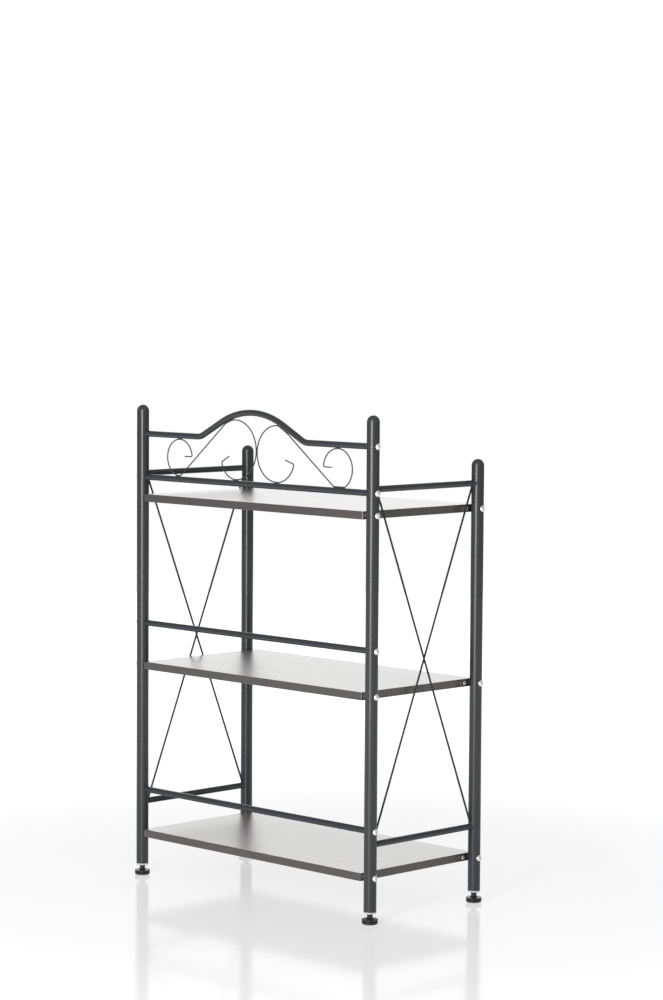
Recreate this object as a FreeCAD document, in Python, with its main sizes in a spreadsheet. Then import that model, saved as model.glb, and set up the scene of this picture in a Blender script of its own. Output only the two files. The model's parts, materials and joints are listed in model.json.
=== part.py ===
import FreeCAD, Part
import math
import os
import Sketcher

# A three-tier bakers rack. Two welded side frames of round tube stand on levelling feet.
# Three boards, three back rails and an arched top rail with a pair of wire scrolls join them.
# Millimetres. X runs along the shelves, with the left side at -X as seen from the front.
# The back is at +Y. Z is up from the floor, and the origin is on the floor below the middle.

doc = FreeCAD.newDocument("bakers_rack")

# Driving sizes

driving_sizes = (
    ("rack_length", 700.0, "over the posts, side to side"),
    ("rack_depth", 328.5, "over the posts, front to back"),
    ("back_height", 998.0, "floor to the crown of the back caps"),
    ("front_drop", 95.2, "from there to the crown of the front caps"),
    ("post_diameter", 25.4, "round tube of the posts"),
    ("post_wall", 1.2, "wall of that tube"),
    ("rail_diameter", 12.7, "round tube of every rail"),
    ("rail_wall", 1.0, "wall of that tube"),
    ("seat_clearance", 0.1, "between a post and what is seated on it"),
    ("fit_clearance", 0.15, "radial, between a plug and its bore"),
    ("weld_gap", 0.1, "between a wire and what it is welded to"),
    ("cap_plug_length", 14.0, "part of a cap inside its tube"),
    ("shelf_height_middle", 456.7, "floor to the upper face of the board"),
    ("shelf_height_bottom", 99.6, "floor to the upper face of the board"),
    ("board_thickness", 16.0, "each shelf board"),
    ("board_setback", 1.5, "from the posts' outer face to the board's long edge"),
    ("board_gap", 2.9, "from a post's inner face to the end of the board"),
    ("board_corner", 3.0, "radius of the upright corners"),
    ("board_edge", 0.8, "bevel round the upper and lower faces"),
    ("back_rail_lift_top", 35.4, "from the board's upper face to the rail's centre line"),
    ("back_rail_lift_middle", 81.4, "from the board's upper face to the rail's centre line"),
    ("back_rail_lift_bottom", 83.9, "from the board's upper face to the rail's centre line"),
    ("side_rail_lift_top", 43.2, "from the top board's upper face to the rail's centre line"),
    ("side_rail_lift_bottom", 56.9, "from the bottom board's upper face to the rail's centre line"),
    ("brace_diameter", 4.0, "rods that cross in each side frame"),
    ("brace_drop", 0.5, "from a side rail's face to the rod's axis, at the post"),
    ("brace_inset", 2.2, "from the posts' middle plane inwards to where the rods cross"),
    ("arch_drop", 60.7, "from the crown of the back caps to the straight ends of the arch"),
    ("arch_offset", 5.0, "middle of the arch, along X"),
    ("arch_rise", 54.3, "from the straight ends to the crown"),
    ("arch_radius", 196.2, "centre line of the crown"),
    ("arch_flank_angle", 27.25, "slope of the flanks in degrees"),
    ("arch_bend_radius", 39.6, "centre line of the lower bends"),
    ("scroll_band", 91.0, "from the top back rail to the straight ends of the arch"),
    ("scroll_wire", 2.6, "wire of the scrolls"),
    ("scroll_offset", -9.6, "where the two scrolls meet, along X"),
    ("scroll_reach", 231.2, "from there to the centre of a small loop"),
    ("scroll_curl_radius_left", 51.0, "last turn of the left scroll's large loop"),
    ("scroll_curl_radius_right", 42.1, "last turn of the right scroll's large loop"),
    ("scroll_curl_angle_left", 71.5, "how far that turn goes round, in degrees"),
    ("scroll_curl_angle_right", 75.5, "how far that turn goes round, in degrees"),
    ("scroll_spread_left", 2.5, "added to a small loop that would only touch the rail"),
    ("scroll_spread_right", 0.4, "added to a small loop that would only touch the rail"),
    ("scroll_run_left", 22.0, "how far the small loop runs along the rail"),
    ("scroll_run_right", 4.0, "how far the small loop runs along the rail"),
    ("scroll_corner", 14.0, "bends before and after that run"),
    ("scroll_swell_left", 2.4, "added to a large loop that would only touch the arch"),
    ("scroll_swell_right", 0.3, "added to a large loop that would only touch the arch"),
    ("scroll_rest_left", 0.75, "share of the way down the arch that the wire follows it"),
    ("scroll_rest_right", 0.2, "share of the way down the arch that the wire follows it"),
    ("scroll_shoulder", 22.0, "bends before and after the wire follows the arch"),
    ("scroll_hook_radius", 3.8, "bend before each straight tip"),
    ("scroll_start_angle_left", 10.0, "where the small loop leaves its tip, in degrees"),
    ("scroll_start_angle_right", 12.0, "where the small loop leaves its tip, in degrees"),
    ("scroll_tip_small", 18.2, "straight tip in the small loop"),
    ("scroll_tip_large", 22.0, "straight tip in the large loop"),
    ("scroll_tip_slope_left", 17.0, "rise of the large loop's tip in degrees"),
    ("scroll_tip_slope_right", 29.0, "rise of the large loop's tip in degrees"),
    ("bolt_thread", 6.0, "shank of every bolt"),
    ("bolt_hole", 6.6, "hole for a bolt in a post"),
    ("bolt_head_diameter", 12.6, "domed head"),
    ("bolt_head_height", 5.0, "domed head, with its rim"),
    ("bolt_head_rim", 1.0, "upright rim below the dome"),
    ("bolt_grip", 12.0, "thread inside a nut or an insert"),
    ("insert_diameter", 10.0, "threaded insert in a board's end"),
    ("insert_length", 14.0, "threaded insert in a board's end"),
    ("bracket_height", 15.0, "bracket between a post and a board's end"),
    ("bracket_thickness", 2.6, "flat ear of the bracket"),
    ("bracket_edge", 1.0, "rounding of the ear's outer edge"),
    ("bracket_seat", 13.0, "round seat of the bracket, hollowed for the post"),
    ("screw_offset", 19.2, "from a bolt to the screw of its bracket"),
    ("bracket_overrun", 5.0, "from there to the centre of the ear's round end"),
    ("screw_shank", 4.0, "wood screw of a bracket"),
    ("screw_length", 18.0, "wood screw, below its head"),
    ("screw_head_diameter", 9.6, "domed head of the wood screw"),
    ("screw_head_height", 2.8, "domed head of the wood screw"),
    ("screw_head_rim", 0.6, "upright rim below that dome"),
    ("nut_length", 13.0, "threaded plug in a rail's end"),
    ("nut_setback", 1.5, "from the post's face to that plug"),
    ("foot_disc_diameter", 32.0, "base of a levelling foot"),
    ("foot_disc_height", 10.0, "base of a levelling foot"),
    ("foot_bevel", 2.2, "bevel under the base"),
    ("foot_groove", 1.0, "groove round the base"),
    ("foot_hub_diameter", 11.4, "hub above the base"),
    ("foot_hub_height", 10.0, "hub above the base"),
    ("foot_flare", 2.5, "flare at the root of the hub"),
    ("foot_gap", 1.2, "from the hub to the post's end plug"),
    ("foot_floor", 3.5, "base left below the stud"),
    ("stud_diameter", 8.0, "threaded stud of a foot"),
    ("stud_collar_diameter", 10.4, "collar that holds the stud in its base"),
    ("stud_collar_height", 2.2, "collar that holds the stud in its base"),
    ("stud_length", 38.0, "stud with its collar"),
    ("running_clearance", 0.3, "between the stud and what it turns in"),
    ("foot_flange_height", 3.2, "rim of the post's end plug"),
    ("foot_flange_bevel", 0.8, "bevel under that rim"),
    ("foot_plug_length", 18.0, "part of the end plug inside the post"),
)

sizes = doc.addObject("Spreadsheet::Sheet", "sizes")
for row, (alias, number, note) in enumerate(driving_sizes, start=1):
    sizes.set(f"A{row}", alias)
    sizes.set(f"B{row}", str(number))
    sizes.set(f"C{row}", note)
    sizes.setAlias(f"B{row}", alias)

# Places and sizes that follow from the driving ones

followed_sizes = (
    ("post_radius", "sizes.post_diameter / 2"),
    ("post_x", "sizes.rack_length / 2 - post_radius"),
    ("post_y", "sizes.rack_depth / 2 - post_radius"),
    ("post_bore", "sizes.post_diameter - 2 * sizes.post_wall"),
    ("plug_radius", "post_bore / 2 - sizes.fit_clearance"),
    ("foot_hub_top", "sizes.foot_disc_height + sizes.foot_hub_height"),
    ("foot_flange_bottom", "foot_hub_top + sizes.foot_gap"),
    ("post_bottom", "foot_flange_bottom + sizes.foot_flange_height"),
    ("tube_top_back", "sizes.back_height - post_radius"),
    ("tube_top_front", "tube_top_back - sizes.front_drop"),
    ("arch_height", "sizes.back_height - sizes.arch_drop"),
    ("back_rail_height_top", "arch_height - sizes.scroll_band"),
    ("board_top_top", "back_rail_height_top - sizes.back_rail_lift_top"),
    ("board_top_middle", "sizes.shelf_height_middle"),
    ("board_top_bottom", "sizes.shelf_height_bottom"),
    ("back_rail_height_middle", "board_top_middle + sizes.back_rail_lift_middle"),
    ("back_rail_height_bottom", "board_top_bottom + sizes.back_rail_lift_bottom"),
    ("side_rail_height_top", "board_top_top + sizes.side_rail_lift_top"),
    ("side_rail_height_bottom", "board_top_bottom + sizes.side_rail_lift_bottom"),
    ("cope_diameter", "sizes.post_diameter + 2 * sizes.seat_clearance"),
    ("rail_cope_diameter", "sizes.rail_diameter + 2 * sizes.seat_clearance"),
    ("rail_radius", "sizes.rail_diameter / 2"),
    ("rail_bore", "sizes.rail_diameter - 2 * sizes.rail_wall"),
    ("board_half_length", "post_x - post_radius - sizes.board_gap"),
    ("board_half_depth", "sizes.rack_depth / 2 - sizes.board_setback"),
    ("bolt_height_top", "board_top_top - sizes.board_thickness / 2"),
    ("bolt_height_middle", "board_top_middle - sizes.board_thickness / 2"),
    ("bolt_height_bottom", "board_top_bottom - sizes.board_thickness / 2"),
    ("bolt_seat", "post_x + post_radius + sizes.seat_clearance"),
    ("shelf_bolt_length", "bolt_seat - board_half_length + sizes.bolt_grip"),
    ("nut_face", "post_x - post_radius - sizes.nut_setback"),
    ("rail_bolt_length", "bolt_seat - nut_face + sizes.bolt_grip"),
    ("thread_bore", "sizes.bolt_thread + 2 * sizes.fit_clearance"),
    ("insert_bore", "sizes.insert_diameter + 2 * sizes.fit_clearance"),
    ("seat_wing", "post_radius - sqrt(post_radius^2 - sizes.bracket_seat^2 / 4)"),
    ("bracket_radius", "sizes.bracket_height / 2"),
    ("ear_end", "sizes.screw_offset + sizes.bracket_overrun"),
    ("screw_hole", "sizes.screw_shank + 2 * sizes.fit_clearance"),
    ("screw_y", "post_y - sizes.screw_offset"),
    ("screw_seat", "board_half_length + sizes.bracket_thickness"),
    ("screw_depth", "sizes.screw_length - sizes.bracket_thickness + sizes.fit_clearance"),
    ("brace_top", "side_rail_height_top - rail_radius - sizes.brace_drop"),
    ("brace_bottom", "side_rail_height_bottom + rail_radius + sizes.brace_drop"),
    ("brace_run", "2 * (post_y - post_radius)"),
    ("brace_overrun", "(brace_top - brace_bottom) / brace_run * post_radius"),
    ("brace_head", "brace_top + brace_overrun"),
    ("brace_foot", "brace_bottom - brace_overrun"),
    ("brace_offset", "sizes.brace_diameter / 2 + sizes.weld_gap / 2"),
    ("arch_centre", "arch_height + sizes.arch_rise - sizes.arch_radius"),
    ("arch_under", "sizes.arch_radius - rail_radius"),
    ("scroll_floor", "back_rail_height_top + rail_radius"),
    ("scroll_drop", "scroll_floor - arch_centre"),
    ("wire_inset", "sizes.scroll_wire / 2 + sizes.weld_gap"),
    ("loop_half", "sizes.scroll_band / 2 - rail_radius"),
    ("loop_radius_left", "loop_half - wire_inset + sizes.scroll_spread_left"),
    ("loop_radius_right", "loop_half - wire_inset + sizes.scroll_spread_right"),
    ("loop_height_left", "scroll_floor + loop_half - sizes.scroll_spread_left"),
    ("loop_height_right", "scroll_floor + loop_half - sizes.scroll_spread_right"),
    ("scroll_shift", "sizes.scroll_offset - sizes.arch_offset"),
    ("crown_left", "scroll_drop + arch_under - scroll_shift"),
    ("crown_right", "scroll_drop + arch_under + scroll_shift"),
    ("crown_square", "arch_under^2 - scroll_drop^2 - scroll_shift^2"),
    ("bow_half_left", "sqrt(crown_left^2 + crown_square) - crown_left + sizes.scroll_swell_left"),
    ("bow_half_right", "sqrt(crown_right^2 + crown_square) - crown_right + sizes.scroll_swell_right"),
    ("rest_radius", "arch_under - wire_inset"),
    ("bow_radius_left", "bow_half_left - wire_inset"),
    ("bow_radius_right", "bow_half_right - wire_inset"),
    ("bow_height_left", "scroll_floor + bow_half_left"),
    ("bow_height_right", "scroll_floor + bow_half_right"),
    ("bend_far", "rest_radius - sizes.scroll_shoulder"),
    ("bend_near_left", "bow_radius_left - sizes.scroll_shoulder"),
    ("bend_near_right", "bow_radius_right - sizes.scroll_shoulder"),
    ("bow_reach_left", "bow_half_left - scroll_shift"),
    ("bow_reach_right", "bow_half_right + scroll_shift"),
    ("bow_rise_left", "bow_height_left - arch_centre"),
    ("bow_rise_right", "bow_height_right - arch_centre"),
    ("bow_away_left", "sqrt(bow_reach_left^2 + bow_rise_left^2)"),
    ("bow_away_right", "sqrt(bow_reach_right^2 + bow_rise_right^2)"),
    ("bow_square_left", "bend_far^2 + bow_away_left^2 - bend_near_left^2"),
    ("bow_square_right", "bend_far^2 + bow_away_right^2 - bend_near_right^2"),
    ("rest_turn_left", "acos(bow_square_left / (2 * bend_far * bow_away_left)) / 1 deg"),
    ("rest_turn_right", "acos(bow_square_right / (2 * bend_far * bow_away_right)) / 1 deg"),
    ("rest_start_left", "acos(bow_reach_left / bow_away_left) / 1 deg + rest_turn_left"),
    ("rest_start_right", "acos(bow_reach_right / bow_away_right) / 1 deg + rest_turn_right"),
    ("loop_square_left", "sizes.scroll_spread_left * (loop_half - wire_inset - sizes.scroll_corner)"),
    ("loop_square_right", "sizes.scroll_spread_right * (loop_half - wire_inset - sizes.scroll_corner)"),
    ("outer_reach_left", "sizes.scroll_reach + 2 * sqrt(loop_square_left)"),
    ("outer_reach_right", "sizes.scroll_reach + 2 * sqrt(loop_square_right)"),
    ("inner_reach_left", "outer_reach_left - sizes.scroll_run_left - scroll_shift"),
    ("inner_reach_right", "outer_reach_right - sizes.scroll_run_right + scroll_shift"),
    ("inner_rise", "scroll_drop + wire_inset + sizes.scroll_corner"),
    ("inner_away_left", "sqrt(inner_reach_left^2 + inner_rise^2)"),
    ("inner_away_right", "sqrt(inner_reach_right^2 + inner_rise^2)"),
    ("slant_turn_left", "acos((sizes.scroll_corner + rest_radius) / inner_away_left) / 1 deg"),
    ("slant_turn_right", "acos((sizes.scroll_corner + rest_radius) / inner_away_right) / 1 deg"),
    ("rest_limit_left", "acos(inner_reach_left / inner_away_left) / 1 deg + slant_turn_left"),
    ("rest_limit_right", "acos(inner_reach_right / inner_away_right) / 1 deg + slant_turn_right"),
    ("rest_span_left", "sizes.scroll_rest_left * (rest_start_left - rest_limit_left)"),
    ("rest_span_right", "sizes.scroll_rest_right * (rest_start_right - rest_limit_right)"),
    ("bow_x_left", "sizes.scroll_offset - bow_half_left"),
    ("bow_x_right", "sizes.scroll_offset + bow_half_right"),
    ("loop_x_left", "sizes.scroll_offset - sizes.scroll_reach"),
    ("loop_x_right", "sizes.scroll_offset + sizes.scroll_reach"),
    ("loop_start_left", "loop_height_left + loop_radius_left * sin(sizes.scroll_start_angle_left)"),
    ("loop_start_right", "loop_height_right + loop_radius_right * sin(sizes.scroll_start_angle_right)"),
    ("curl_rise_left", "sizes.scroll_curl_radius_left * (1 - cos(sizes.scroll_curl_angle_left))"),
    ("curl_rise_right", "sizes.scroll_curl_radius_right * (1 - cos(sizes.scroll_curl_angle_right))"),
    ("curl_end_left", "scroll_floor + wire_inset + curl_rise_left"),
    ("curl_end_right", "scroll_floor + wire_inset + curl_rise_right"),
    ("stud_top", "sizes.foot_floor + sizes.stud_length"),
    ("collar_top", "sizes.foot_floor + sizes.stud_collar_height"),
    ("bolt_rise", "sizes.bolt_head_height - sizes.bolt_head_rim"),
    ("bolt_dome", "(sizes.bolt_head_diameter^2 / 4 + bolt_rise^2) / (2 * bolt_rise)"),
    ("screw_rise", "sizes.screw_head_height - sizes.screw_head_rim"),
    ("screw_dome", "(sizes.screw_head_diameter^2 / 4 + screw_rise^2) / (2 * screw_rise)"),
)

worked = doc.addObject("Spreadsheet::Sheet", "worked")
for row, (alias, formula) in enumerate(followed_sizes, start=1):
    worked.set(f"A{row}", alias)
    worked.set(f"B{row}", "=" + formula)
    worked.setAlias(f"B{row}", alias)
doc.recompute()

sides = (("left", -1), ("right", 1))
ends = (("back", 1), ("front", -1))
tiers = ("top", "middle", "bottom")
pieces = []


def value(formula):
    """Gives the number that a formula stands for now."""
    return float(worked.evalExpression(formula))


def signed(sign, formula):
    """Gives the formula for one side of the rack or the other."""
    return formula if sign > 0 else f"-({formula})"


def flat(across, up):
    """Gives a point of a drawing."""
    return FreeCAD.Vector(across, up, 0)


# Drawings: every point, radius and offset is held by a formula


def new_body(name, is_piece=True):
    """Starts a body, which is a piece of the rack unless it is only copied from."""
    body = doc.addObject("PartDesign::Body", name)
    if is_piece:
        pieces.append(body)
    return body


def origin_feature(body, role):
    """Finds one of a body's own planes or axes."""
    return next(item for item in body.Origin.OriginFeatures if item.Role == role)


def new_sketch(body, name, plane, offset=None):
    """Starts a drawing on one of the body's planes, at an offset along its normal."""
    sketch = body.newObject("Sketcher::SketchObject", f"{body.Name}_{name}")
    sketch.AttachmentSupport = (origin_feature(body, plane), [""])
    sketch.MapMode = "FlatFace"
    if offset is not None:
        sketch.setExpression(".AttachmentOffset.Base.z", offset)
    return sketch


def hold(sketch, kind, *target, formula):
    """Adds a constraint whose value is a formula."""
    number = value(formula)
    if kind == "Angle":
        number = math.radians(number)
    index = sketch.addConstraint(Sketcher.Constraint(kind, *target, number))
    sketch.setExpression(f"Constraints[{index}]", formula)


def pin(sketch, geometry, point, across=None, up=None):
    """Holds a point of the drawing at a place, or on one of the two axes for 0."""
    for kind, axis, formula in (("DistanceX", -2, across), ("DistanceY", -1, up)):
        if formula == "0":
            sketch.addConstraint(Sketcher.Constraint("PointOnObject", geometry, point, axis))
        elif formula is not None:
            hold(sketch, kind, -1, 1, geometry, point, formula=formula)


def draw_circle(sketch, across, up, diameter):
    """Draws a circle about a held centre."""
    centre = flat(value(across), value(up))
    shape = Part.Circle(centre, FreeCAD.Vector(0, 0, 1), value(diameter) / 2)
    index = sketch.addGeometry(shape, False)
    hold(sketch, "Diameter", index, formula=diameter)
    pin(sketch, index, 3, across, up)


def draw_arc(sketch, centre, radius, first, last, turn):
    """Draws an arc between two angles in degrees and tells which ends come first and last."""
    start, stop = (first, last) if turn > 0 else (last, first)
    while stop < start:
        stop += 360
    circle = Part.Circle(centre, FreeCAD.Vector(0, 0, 1), radius)
    arc = Part.ArcOfCircle(circle, math.radians(start), math.radians(stop))
    index = sketch.addGeometry(arc, False)
    return (index, 1, 2) if turn > 0 else (index, 2, 1)


def draw_outline(sketch, corners, bulges=None):
    """Draws a closed outline through held corners. A bulge rounds the side after its corner,
    outwards, to a radius."""
    bulges = bulges or {}
    points = [flat(value(across), value(up)) for across, up in corners]
    sides_drawn = []
    for number, (start, end) in enumerate(zip(points, points[1:] + points[:1])):
        if number not in bulges:
            line = Part.LineSegment(start, end)
            sides_drawn.append((sketch.addGeometry(line, False), 1, 2))
            continue
        radius = value(bulges[number])
        chord = end - start
        inward = FreeCAD.Vector(-chord.y, chord.x, 0).normalize()
        depth = math.sqrt(max(radius ** 2 - chord.Length ** 2 / 4, 0))
        centre = start + chord / 2 + inward * depth
        angles = [math.degrees(math.atan2(p.y - centre.y, p.x - centre.x)) for p in (start, end)]
        sides_drawn.append(draw_arc(sketch, centre, radius, angles[0], angles[1], 1))
    for number, (this, after) in enumerate(zip(sides_drawn, sides_drawn[1:] + sides_drawn[:1])):
        joint = (this[0], this[2], after[0], after[1])
        sketch.addConstraint(Sketcher.Constraint("Coincident", *joint))
        pin(sketch, this[0], this[1], *corners[number])
        if number in bulges:
            hold(sketch, "Radius", this[0], formula=bulges[number])


def draw_route(sketch, runs):
    """Draws a smooth path of straight runs and arcs, each tangent to the one before it."""
    drawn = []
    for run in runs:
        if run[0] == "line":
            drawn.append((sketch.addGeometry(Part.LineSegment(run[1], run[2]), False), 1, 2))
        else:
            drawn.append(draw_arc(sketch, *run[1:]))
    for this, after in zip(drawn, drawn[1:]):
        sketch.addConstraint(Sketcher.Constraint("Tangent", this[0], this[2], after[0], after[1]))
    return drawn


# Features


def feature(body, kind, profile, name):
    """Adds a feature that reads a drawing."""
    made = body.newObject(f"PartDesign::{kind}", f"{body.Name}_{name}")
    made.Profile = profile
    return made


def pad(body, sketch, length, both_ways=False):
    """Raises a drawing along its normal."""
    made = feature(body, "Pad", sketch, "pad")
    made.SideType = "Symmetric" if both_ways else "One side"
    made.setExpression("Length", length)
    return made


def cut_through(body, sketch, name):
    """Cuts a drawing right through the body, both ways."""
    made = feature(body, "Pocket", sketch, name)
    made.Type = "ThroughAll"
    made.SideType = "Symmetric"


def turned(body, corners, bulges=None):
    """Turns an outline of radius and height pairs about the body's own upright axis."""
    sketch = new_sketch(body, "profile", "XZ_Plane")
    draw_outline(sketch, corners, bulges)
    made = feature(body, "Revolution", sketch, "turned")
    made.ReferenceAxis = (origin_feature(body, "Z_Axis"), [""])
    made.Angle = 360


def swept(body, path, diameters):
    """Carries a round section, or a ring of two diameters, along a path from its first end."""
    section = body.newObject("Sketcher::SketchObject", f"{body.Name}_section")
    section.AttachmentSupport = (path, ["Edge1"])
    section.MapMode = "NormalToEdge"
    for diameter in diameters:
        draw_circle(section, "0", "0", diameter)
    made = feature(body, "AdditivePipe", section, "swept")
    edges = [f"Edge{number + 1}" for number in range(path.GeometryCount)]
    made.Spine = (path, edges)


def cope(body, centres, plane="XY_Plane", diameter="worked.cope_diameter"):
    """Hollows the ends of a bar to the round of the posts or of the rails that they meet."""
    sketch = new_sketch(body, f"cope_{plane}", plane)
    for across, up in centres:
        draw_circle(sketch, across, up, diameter)
    cut_through(body, sketch, f"coped_{plane}")


def place(item, x=None, y=None, z=None):
    """Binds an object's place to formulas."""
    for axis, formula in (("x", x), ("y", y), ("z", z)):
        if formula is not None:
            item.setExpression(f".Placement.Base.{axis}", formula)


def copies(name, source, corners, x, y, z):
    """Makes one piece of a copy at each corner. A copy's upright axis points out of the rack's
    side, and its Y axis points away from the rack's middle."""
    links = []
    for number, (side_sign, end_sign) in enumerate(corners, start=1):
        link = doc.addObject("App::Link", f"{name}_{number}")
        link.LinkedObject = source
        outwards = FreeCAD.Rotation(FreeCAD.Vector(0, 1, 0), 90 * side_sign)
        about_axis = FreeCAD.Rotation(FreeCAD.Vector(0, 0, 1), 90 - 90 * end_sign)
        link.Placement = FreeCAD.Placement(FreeCAD.Vector(0, 0, 0), outwards * about_axis)
        place(link, signed(side_sign, x), signed(end_sign, y), z)
        links.append(link)
    group = doc.addObject("Part::Compound", name)
    group.Links = links
    pieces.append(group)


# Posts and caps


def make_post(end, end_sign, hole_heights):
    """Makes the left post of one end and mirrors it to the right."""
    y = signed(end_sign, "worked.post_y")
    left = new_body(f"post_{end}_left")
    ring = new_sketch(left, "ring", "XY_Plane", "worked.post_bottom")
    for diameter in ("sizes.post_diameter", "worked.post_bore"):
        draw_circle(ring, "-worked.post_x", y, diameter)
    pad(left, ring, f"worked.tube_top_{end} - worked.post_bottom")
    holes = new_sketch(left, "holes", "YZ_Plane")
    for height in hole_heights:
        draw_circle(holes, y, height, "sizes.bolt_hole")
    cut_through(left, holes, "drilled")
    right = doc.addObject("Part::Mirroring", f"post_{end}_right")
    right.Source = left
    right.Normal = FreeCAD.Vector(1, 0, 0)
    pieces.append(right)


shelf_lines = [f"worked.bolt_height_{tier}" for tier in tiers]
rail_lines = [f"worked.back_rail_height_{tier}" for tier in tiers] + ["worked.arch_height"]
make_post("back", 1, shelf_lines + rail_lines)
make_post("front", -1, shelf_lines)

for end, end_sign in ends:
    for side, side_sign in sides:
        cap = new_body(f"cap_{end}_{side}")
        turned(cap, (
            ("0", "-sizes.cap_plug_length"),
            ("worked.plug_radius", "-sizes.cap_plug_length"),
            ("worked.plug_radius", "0"),
            ("worked.post_radius", "0"),
            ("0", "worked.post_radius"),
        ), {3: "worked.post_radius"})
        place(cap, signed(side_sign, "worked.post_x"), signed(end_sign, "worked.post_y"),
              f"worked.tube_top_{end}")

# Straight rails


def draw_tube(sketch, across, up):
    """Draws the ring of a rail's tube."""
    for diameter in ("sizes.rail_diameter", "worked.rail_bore"):
        draw_circle(sketch, across, up, diameter)


for tier in tiers:
    rail = new_body(f"back_rail_{tier}")
    ring = new_sketch(rail, "ring", "YZ_Plane")
    draw_tube(ring, "worked.post_y", f"worked.back_rail_height_{tier}")
    pad(rail, ring, "2 * worked.post_x", both_ways=True)
    cope(rail, [(signed(sign, "worked.post_x"), "worked.post_y") for _, sign in sides])

for side, side_sign in sides:
    x = signed(side_sign, "worked.post_x")
    for level in ("top", "bottom"):
        rail = new_body(f"side_rail_{level}_{side}")
        ring = new_sketch(rail, "ring", "XZ_Plane")
        draw_tube(ring, x, f"worked.side_rail_height_{level}")
        pad(rail, ring, "2 * worked.post_y", both_ways=True)
        cope(rail, [(x, signed(sign, "worked.post_y")) for _, sign in ends])

# Crossed rods: each leans from the foot of one post to the head of the other, and ends in the
# corner between the post and a side rail

for side, side_sign in sides:
    x = signed(side_sign, "worked.post_x")
    for lean, lean_sign in (("rising", 1), ("falling", -1)):
        rod = new_body(f"brace_{lean}_{side}")
        path = new_sketch(rod, "path", "YZ_Plane",
                          f"{x} + {side_sign} * ({lean_sign} * worked.brace_offset - sizes.brace_inset)")
        foot = (signed(-lean_sign, "worked.post_y"), "worked.brace_foot")
        head = (signed(lean_sign, "worked.post_y"), "worked.brace_head")
        points = [flat(value(across), value(up)) for across, up in (foot, head)]
        line = path.addGeometry(Part.LineSegment(*points), False)
        pin(path, line, 1, *foot)
        pin(path, line, 2, *head)
        swept(rod, path, ["sizes.brace_diameter"])
        cope(rod, [(x, signed(sign, "worked.post_y")) for _, sign in ends])
        cope(rod, [(x, f"worked.side_rail_height_{level}") for level in ("top", "bottom")],
             "XZ_Plane", "worked.rail_cope_diameter")

# Arched top rail: straight ends, two lower bends, two flanks and a round crown


def arch_runs():
    """Works out the arch's centre line from left to right."""
    post = value("worked.post_x")
    middle = value("sizes.arch_offset")
    height = value("worked.arch_height")
    angle = value("sizes.arch_flank_angle")
    bend = value("sizes.arch_bend_radius")
    radius = value("sizes.arch_radius")
    centre = value("worked.arch_centre")
    slope = math.radians(angle)
    crown_end = flat(radius * math.sin(slope), centre + radius * math.cos(slope))
    corner = crown_end.x + (crown_end.y - height) / math.tan(slope)
    tangent = bend * math.tan(slope / 2)
    bend_centre = flat(corner + tangent, height + bend)
    bend_end = flat(corner - tangent * math.cos(slope), height + tangent * math.sin(slope))

    def left(point):
        return flat(middle - point.x, point.y)

    def right(point):
        return flat(middle + point.x, point.y)

    bend_start = flat(bend_centre.x, height)
    return [
        ("line", flat(-post, height), left(bend_start)),
        ("arc", left(bend_centre), bend, 270, 270 + angle, 1),
        ("line", left(bend_end), left(crown_end)),
        ("arc", flat(middle, centre), radius, 90 + angle, 90 - angle, -1),
        ("line", right(crown_end), right(bend_end)),
        ("arc", right(bend_centre), bend, 270 - angle, 270, 1),
        ("line", right(bend_start), flat(post, height)),
    ]


arch = new_body("arch_rail")
path = new_sketch(arch, "path", "XZ_Plane", "-worked.post_y")
drawn = draw_route(path, arch_runs())
first, bend_up, flank_up, crown, flank_down, bend_down, last = [item[0] for item in drawn]
pin(path, first, 1, "-worked.post_x", "worked.arch_height")
pin(path, last, 2, "worked.post_x", "worked.arch_height")
for straight in (first, last):
    path.addConstraint(Sketcher.Constraint("Horizontal", straight))
for bend in (bend_up, bend_down):
    hold(path, "Radius", bend, formula="sizes.arch_bend_radius")
hold(path, "Radius", crown, formula="sizes.arch_radius")
pin(path, crown, 3, "sizes.arch_offset", "worked.arch_centre")
hold(path, "Angle", flank_up, formula="sizes.arch_flank_angle")
hold(path, "Angle", flank_down, formula="-sizes.arch_flank_angle")
swept(arch, path, ["sizes.rail_diameter", "worked.rail_bore"])
cope(arch, [(signed(sign, "worked.post_x"), "worked.post_y") for _, sign in sides])

# Scrolls: each wire is a tip, a small loop, a run along the rail, a slant, a rest along the arch,
# a large loop, a curl and a tip


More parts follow.
